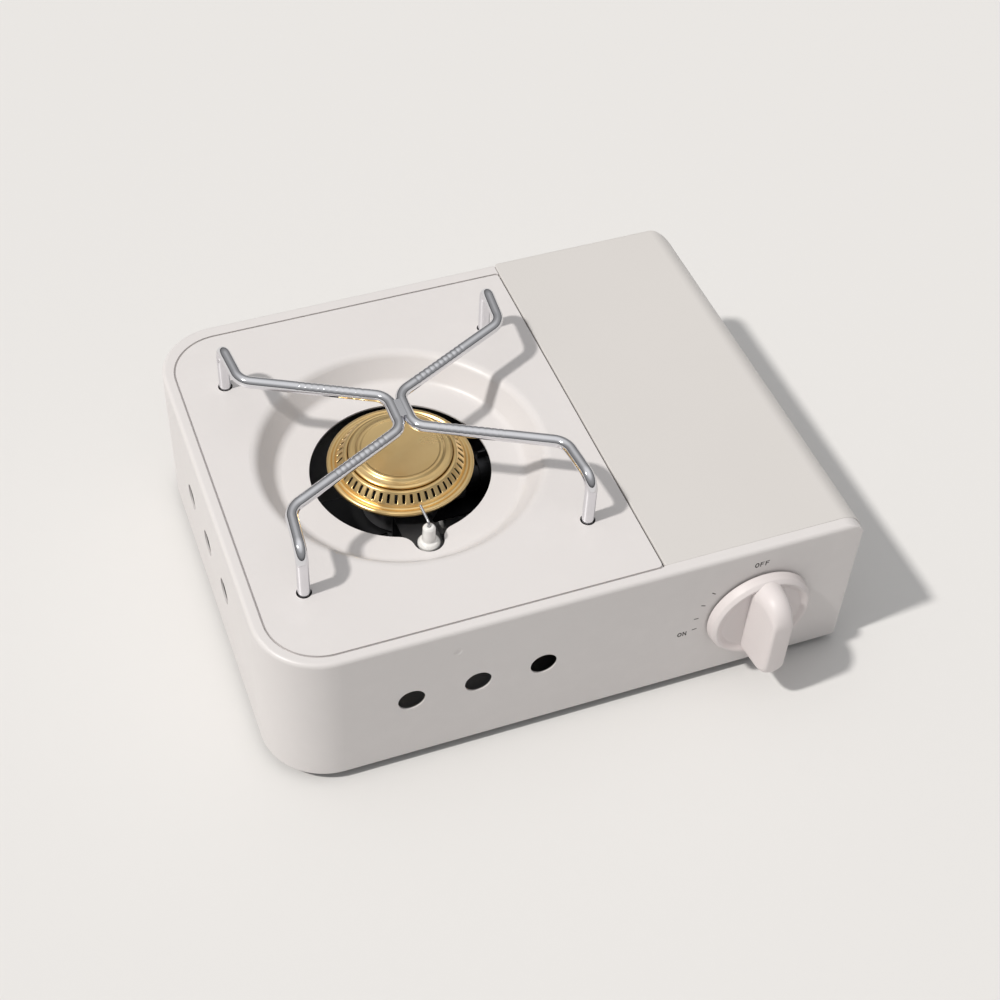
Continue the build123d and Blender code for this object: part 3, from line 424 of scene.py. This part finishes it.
NODE_FINISH = {
    "body_shell": BODY_COAT, "top_plate": BODY_COAT, "cartridge_lid": LID_COAT_PAINTED_SHADE,
    "base_pan": ZINC_SHEET, "bay_partition": ZINC_SHEET, "cartridge_cradle": ZINC_SHEET,
    "governor_bracket": ZINC_SHEET, "cartridge_collar": ZINC_SHEET, "piezo_bracket": ZINC_SHEET,
    "burner_bracket": OPENING_SHADE_STEEL, "electrode_bracket": DULL_SHEET, "burner_bowl": CAST,
    "mixing_tube": OPENING_SHADE_STEEL, "air_shutter": OPENING_SHADE_STEEL, "governor_body": CAST, "governor_cap": CAST,
    "foot_screws": SCREW_ZINC, "burner_screws": SCREW_ZINC, "governor_screws": SCREW_ZINC,
    "hinge_rod": SCREW_ZINC, "jet_holder": TURNED_BRASS, "gas_jet": TURNED_BRASS,
    "gas_pipe": DRAWN_PIPE, "valve_spindle": TURNED_BRASS, "piezo_plunger": TURNED_BRASS,
    "piezo_body": BLACK_PLASTIC, "lid_magnet": BLACK_PLASTIC, "cartridge_seal": RUBBER,
    "igniter_cam": PALE_PLASTIC, "ignition_lead": LEAD_SLEEVE, "pot_support_weld": CHROME,
    "foot_front_left": RUBBER, "foot_front_right": RUBBER, "foot_rear_left": RUBBER,
    "foot_rear_right": RUBBER, "burner_cap": BRASS, "burner_port_ring": BRASS, "knob": KNOB_PLASTIC,
    "pot_support_left_rod": CHROME, "pot_support_right_rod": CHROME,
    "electrode_insulator": CERAMIC, "electrode_wire": SCREW_ZINC,
}
for name, material in NODE_FINISH.items():
    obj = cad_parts[name]
    obj.data.materials.clear()
    obj.data.materials.append(material)


# ---- pot support --------------------------------------------------------------------------------
ROD_R = 2.6 * MM
rod_low, rod_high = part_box("pot_support_right_rod")
ROD_Z = rod_high.z - ROD_R
LEG_X, LEG_Y = rod_high.x - ROD_R - BURNER.x, rod_high.y - ROD_R - BURNER.y
ELBOW = Vector((58.6, 38.4)) * MM
WAIST_Y = 9.8 * MM
NOTCH_PITCH, NOTCH_DEPTH = 2.6 * MM, 0.18 * MM
NOTCHES_FROM, NOTCHES_TO = 17 * MM, 47 * MM   # from the burner's axis
SIDE_OF_TOP = 0.3                             # how far up the rod's side the notches start


def support_rod(side, name):
    """One bent rod with pressed grip notches on top of its two arms."""
    legs = [(LEG_X, -LEG_Y, rod_low.z), (LEG_X, -LEG_Y, ROD_Z), (ELBOW.x, -ELBOW.y, ROD_Z),
            (ROD_R, -WAIST_Y, ROD_Z)]
    corners = legs + [(x, -y, z) for x, y, z in reversed(legs)]
    points = [Vector((BURNER.x + side * x, BURNER.y + y, z)) for x, y, z in corners]
    bends = [r * MM for r in (0, 6, 9, 8, 8, 9, 6, 0)]
    path = spaced(rounded(points, bends, steps=14), 0.5 * MM)

    lengths, total = [0.0], 0.0
    for a, b in zip(path, path[1:]):
        total += (b - a).length
        lengths.append(total)
    gaps = [hypot(p.x - BURNER.x, p.y - BURNER.y) for p in path]

    def notched(distance, out):
        """The rod's radius, thinner in a row of notches along the top of each arm."""
        index = min(range(len(lengths)), key=lambda k: abs(lengths[k] - distance))
        reach = gaps[index]
        if not NOTCHES_FROM < reach < NOTCHES_TO or out.z < SIDE_OF_TOP:
            return ROD_R
        wave = max(0.0, sin(2 * pi * reach / NOTCH_PITCH)) ** 2
        return ROD_R - NOTCH_DEPTH * wave * min(1.0, (out.z - SIDE_OF_TOP) / 0.4)

    bm = bmesh.new()
    tube(bm, path, ROD_R, 28, notched)
    return piece(name, bm, CHROME, "pot_support", 50)


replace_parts(support_rod(-1, "support_rod_left"), "pot_support_left_rod")
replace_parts(support_rod(1, "support_rod_right"), "pot_support_right_rod")


# ---- burner head --------------------------------------------------------------------------------
SLOT_COUNT, SLOT_STEPS = 50, 10
OPEN_STEPS = (2, 3, 4, 5)                     # the steps of each pitch that the slot takes
RING_WALL = 0.7 * MM


def mm_profile(points):
    """An outline in millimetres as metres."""
    return [(r * MM, z * MM) for r, z in points]


def burner_ring():
    """The port ring: a rolled outer bead, a flange, and a cone pierced with upright slots."""
    bead = ring_low.z - TOP
    outer = (ring_high.x - ring_low.x) / 2
    lift = bead + 1.2 * MM
    outline = [
        (25.9 * MM, lift - 1.2 * MM), (outer - 1.3 * MM, lift - 1.2 * MM), (outer, lift - 0.9 * MM),
        (outer, lift + 1.1 * MM), (outer - 1.7 * MM, lift + 1.3 * MM), (29.0 * MM, lift + 0.5 * MM),
        (28.0 * MM, lift + 0.9 * MM), (27.5 * MM, lift + 2.2 * MM)]
    flange = rounded([Vector((r, z, 0)) for r, z in outline],
                     [0, 0, 0.9 * MM, 0.9 * MM, 0.9 * MM, 0.9 * MM, 0.6 * MM, 0], steps=5)
    slotted = [(27.4, -4.1), (27.25, -3.9), (24.7, -0.95), (24.5, -0.75)]
    shoulder = rounded([Vector((r * MM, z * MM, 0)) for r, z in
                        [(24.5, -0.75), (24.1, -0.25), (23.3, -0.1), (22.7, -0.3), (22.5, -2.0)]],
                       [0, 0.5 * MM, 0.5 * MM, 0.3 * MM, 0], steps=4)
    profile = [(p.x, p.y) for p in flange] + mm_profile(slotted) + [(p.x, p.y) for p in shoulder[1:]]
    band = len(flange) + 1

    bm = bmesh.new()
    turn(bm, profile, BURNER, count=SLOT_COUNT * SLOT_STEPS,
         skip=lambda n, i: n == band and i % SLOT_STEPS in OPEN_STEPS)
    ring = piece("port_ring", bm, BRASS, "stove_body", 35)
    wall = ring.modifiers.new("wall", "SOLIDIFY")
    wall.thickness = RING_WALL
    wall.offset = -1
    return ring


def burner_top():
    """The cap: a flat disc, a raised ring round it, a step down and a rounded rim."""
    points = [(0, 1.75), (16.6, 1.75), (17.3, 2.15), (18.3, 2.15), (19.3, 1.1), (20.6, 0.9),
              (21.3, 0.9), (22.3, 0.5), (22.3, -1.2), (21.6, -1.8)]
    radii = [0, 0.6, 0.5, 0.6, 0.7, 0.5, 0.4, 0.5, 0.3, 0]
    profile = rounded([Vector((r * MM, z * MM, 0)) for r, z in points], [r * MM for r in radii], steps=5)
    bm = bmesh.new()
    turn(bm, [(p.x, p.y) for p in profile], BURNER, count=192)
    return piece("burner_disc", bm, BRASS, "stove_body", 35)


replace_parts(burner_ring(), "burner_port_ring")
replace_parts(burner_top(), "burner_cap")


# ---- igniter tip --------------------------------------------------------------------------------
SPARK = middle("electrode_insulator")
spark_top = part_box("electrode_insulator")[1].z


def insulator():
    """The glazed ceramic sleeve: a round foot, a waist and a domed tip round the wire."""
    top = spark_top - TOP
    points = [(2.4, -17), (2.4, -12.2), (4.2, -11.8), (4.8, -11.0), (4.8, -9.7), (3.9, -8.4), (2.9, -8.0),
              (2.7, -1.0), (1.9, 0.0), (0.75, 0.0), (0.75, -1.5)]
    radii = [0, 0.4, 0.6, 0.8, 0.8, 0.8, 0.7, 0.7, 0.6, 0.2, 0]
    profile = rounded([Vector((r * MM, z * MM, 0)) for r, z in points], [r * MM for r in radii], steps=4)
    bm = bmesh.new()
    turn(bm, [(p.x, p.y + top) for p in profile], Vector((SPARK.x, SPARK.y, TOP)), count=72)
    return piece("igniter_ceramic", bm, CERAMIC, "stove_body", 50)


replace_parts(insulator(), "electrode_insulator")


# ---- knob ---------------------------------------------------------------------------------------
KNOB_BACK = KNOB_AXIS.y - knob_high.y
RIM_FRONT = 6.2 * MM
REACH = KNOB_AXIS.y - knob_low.y
GRIP_BASE, GRIP_FRONT = 7.2 * MM, 4.4 * MM    # half of the bar's width, at the dish and in front
TOP_ROUND, LOWER_ROUND, EDGE_ROUND = 11.0 * MM, 7.5 * MM, 1.1 * MM


def grip_section(x_half, low, high, depth, steps=12):
    """Upright round-ended outline of the grip at one depth ahead of the wall."""
    points = []
    for end, reach in ((1, high), (-1, low)):
        for k in range(steps + 1):
            angle = pi * k / steps
            height = end * (reach - x_half + x_half * sin(angle))
            points.append(KNOB_AXIS + Vector((end * x_half * cos(angle), -depth, height)))
    return points


def over(depth, front, radius):
    """How far a rounded edge has drawn in at a depth, for a face at front."""
    left = front - depth
    if left >= radius:
        return 0.0
    return radius - (radius ** 2 - (radius - left) ** 2) ** 0.5


def knob_dial():
    """The dial: a disc with a bright chamfered rim and a dished face, and a tall bar across it."""
    bm = bmesh.new()
    edge, back = KNOB_R, KNOB_BACK
    outline = [(edge - 2.2 * MM, back + 3 * MM), (edge - 2.2 * MM, back),
               (edge, back), (edge - 0.7 * MM, RIM_FRONT - 1.6 * MM),
               (edge - 2.2 * MM, RIM_FRONT), (edge - 3.4 * MM, RIM_FRONT - 0.3 * MM),
               (edge - 5.2 * MM, RIM_FRONT - 1.5 * MM), (0, RIM_FRONT - 1.5 * MM)]
    radii = [r * MM for r in (0, 0.3, 0.4, 1.2, 0.8, 0.8, 1.6, 0)]
    profile = rounded([Vector((r, z, 0)) for r, z in outline], radii, steps=5)
    turn(bm, [(p.x, p.y) for p in profile], KNOB_AXIS, axis="-Y", count=144)
    # the bar narrows forwards; its ends round over, more at the top than at the bottom
    base, count = RIM_FRONT - 1.9 * MM, 24
    levels = []
    for k in range(count + 1):
        depth = base + (REACH - base) * sin(pi / 2 * k / count)
        t = (depth - base) / (REACH - base)
        half = GRIP_BASE + (GRIP_FRONT - GRIP_BASE) * t
        half -= over(depth, REACH, EDGE_ROUND)
        high = KNOB_R - 1.0 * MM - over(depth, REACH, TOP_ROUND)
        low = KNOB_R - 1.0 * MM - over(depth, REACH, LOWER_ROUND)
        levels.append((half, low, high, depth))
    rings = [[bm.verts.new(p) for p in grip_section(*level)] for level in levels]
    for a, b in zip(rings, rings[1:]):
        bridge(bm, a, b)
    bm.faces.new(rings[-1])
    return piece("dial_knob", bm, KNOB_PLASTIC, "knob_group", 40)


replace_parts(knob_dial(), "knob")


# ---- dial marks ---------------------------------------------------------------------------------
INK = 0.04 * MM
LETTER, LETTER_PITCH, STROKE = 2.3 * MM, 2.35 * MM, 0.42 * MM
TICK_ANGLES, TICK_IN, TICK_OUT = (186.5, 172.6, 156.2, 141.0), 27.6 * MM, 29.2 * MM


def stroke(bm, points, width):
    """A flat printed stroke on the front wall through (x, z) points."""
    for (x0, z0), (x1, z1) in zip(points, points[1:]):
        along = Vector((x1 - x0, 0, z1 - z0)).normalized()
        across = Vector((-along.z, 0, along.x)) * (width / 2)
        start, end = Vector((x0, 0, z0)) - along * width / 2, Vector((x1, 0, z1)) + along * width / 2
        base = Vector((0, FRONT, 0))
        front = [start - across, end - across, end + across, start + across]
        near = [bm.verts.new(base + p + Vector((0, -INK, 0))) for p in front]
        far = [bm.verts.new(base + p + Vector((0, 0.02 * MM, 0))) for p in front]
        bm.faces.new(near)
        bm.faces.new(far)
        bridge(bm, near, far)


def letter(bm, strokes, x, z, size, width):
    """One plain letter from strokes drawn in a box 0.7 wide and 1 high."""
    for points in strokes:
        stroke(bm, [(x + px * size, z + pz * size) for px, pz in points], width)


ROUND_O = [[(0.35 + 0.33 * cos(2 * pi * k / 14), 0.5 + 0.5 * sin(2 * pi * k / 14)) for k in range(15)]]
PLAIN_F = [[(0.05, 0), (0.05, 1), (0.6, 1)], [(0.05, 0.52), (0.5, 0.52)]]
PLAIN_N = [[(0.03, 0), (0.03, 1), (0.6, 0), (0.6, 1)]]


def dial_marks():
    """Off at the top of the dial, on at the left, and ticks on the arc between."""
    bm = bmesh.new()
    off_word, on_word = (ROUND_O, PLAIN_F, PLAIN_F), (ROUND_O, PLAIN_N)
    words = ((off_word, -5.0 * MM, 27.9 * MM), (on_word, -35.6 * MM, -5.6 * MM))
    for shapes, across, up in words:
        for n, shape in enumerate(shapes):
            letter(bm, shape, KNOB_AXIS.x + across + n * LETTER_PITCH, KNOB_AXIS.z + up, LETTER, STROKE)
    for angle in TICK_ANGLES:
        a = radians(angle)
        ends = [(KNOB_AXIS.x + r * cos(a), KNOB_AXIS.z + r * sin(a)) for r in (TICK_IN, TICK_OUT)]
        stroke(bm, ends, 0.5 * MM)
    return piece("dial_print", bm, PRINT, "stove_body", 30)


dial_marks()


# ---- floor, light and camera --------------------------------------------------------------------
def pale_floor():
    """A plain pale floor under the feet."""
    bm = bmesh.new()
    half = 6.0
    signs = ((-1, -1), (1, -1), (1, 1), (-1, 1))
    bm.faces.new([bm.verts.new((x * half, y * half, 0)) for x, y in signs])
    mesh = bpy.data.meshes.new("studio_floor")
    bm.to_mesh(mesh)
    bm.free()
    floor = bpy.data.objects.new("studio_floor", mesh)
    bpy.context.scene.collection.objects.link(floor)
    material, tree, shader = shade_sheet("floor_paper", Roughness=0.9)
    shader.inputs["Base Color"].default_value = (0.74, 0.73, 0.72, 1)
    mesh.materials.append(material)


def lights():
    """A soft sun from the upper left and a pale room, brightest overhead and darker near the floor."""
    sun = bpy.data.lights.new("key_sun", "SUN")
    sun.energy = 2.35
    sun.angle = radians(3.5)
    sun.color = (1.0, 0.97, 0.93)
    lamp = bpy.data.objects.new("key_sun", sun)
    lamp.rotation_mode = "QUATERNION"
    lamp.rotation_quaternion = Vector((0.60, 0.06, -0.80)).to_track_quat("-Z", "Y")
    bpy.context.scene.collection.objects.link(lamp)
    world = bpy.data.worlds.new("room")
    world.use_nodes = True
    tree = world.node_tree
    tree.nodes.clear()
    out = tree.nodes.new("ShaderNodeOutputWorld")
    direction = node(tree, "ShaderNodeTexCoord").outputs["Generated"]
    height = node(tree, "ShaderNodeSeparateXYZ", {"Vector": direction}).outputs["Z"]
    glow = ramp(tree, height, [(0.0, 0.06), (0.30, 0.30), (0.62, 0.42), (0.95, 1.0)])
    back = node(tree, "ShaderNodeBackground", {"Color": glow, "Strength": 0.85})
    tree.links.new(back.outputs["Background"], out.inputs["Surface"])
    bpy.context.scene.world = world


def camera():
    """A camera at the front left, well above, with a slight roll."""
    azimuth, elevation, roll = radians(-19.8), radians(47.49), radians(0.94)
    away, lens = 0.7249, 62.8
    target = Vector((-38.2, -19.3, 78.0)) * MM
    back = Vector((sin(azimuth) * cos(elevation), -cos(azimuth) * cos(elevation), sin(elevation)))
    right = Vector((cos(azimuth), sin(azimuth), 0))
    up = back.cross(right)
    across = right * cos(roll) + up * sin(roll)
    rise = back.cross(across)
    data = bpy.data.cameras.new("view")
    data.lens = lens
    data.sensor_width = 36
    data.shift_x, data.shift_y = 0.068, -0.005
    data.clip_start, data.clip_end = 0.01, 50
    made = bpy.data.objects.new("view", data)
    place = Matrix((across, rise, back)).transposed().to_4x4()
    place.translation = target + back * away
    made.matrix_world = place
    bpy.context.scene.collection.objects.link(made)
    bpy.context.scene.camera = made


pale_floor()
lights()
camera()
bpy.context.scene.view_settings.view_transform = "Standard"
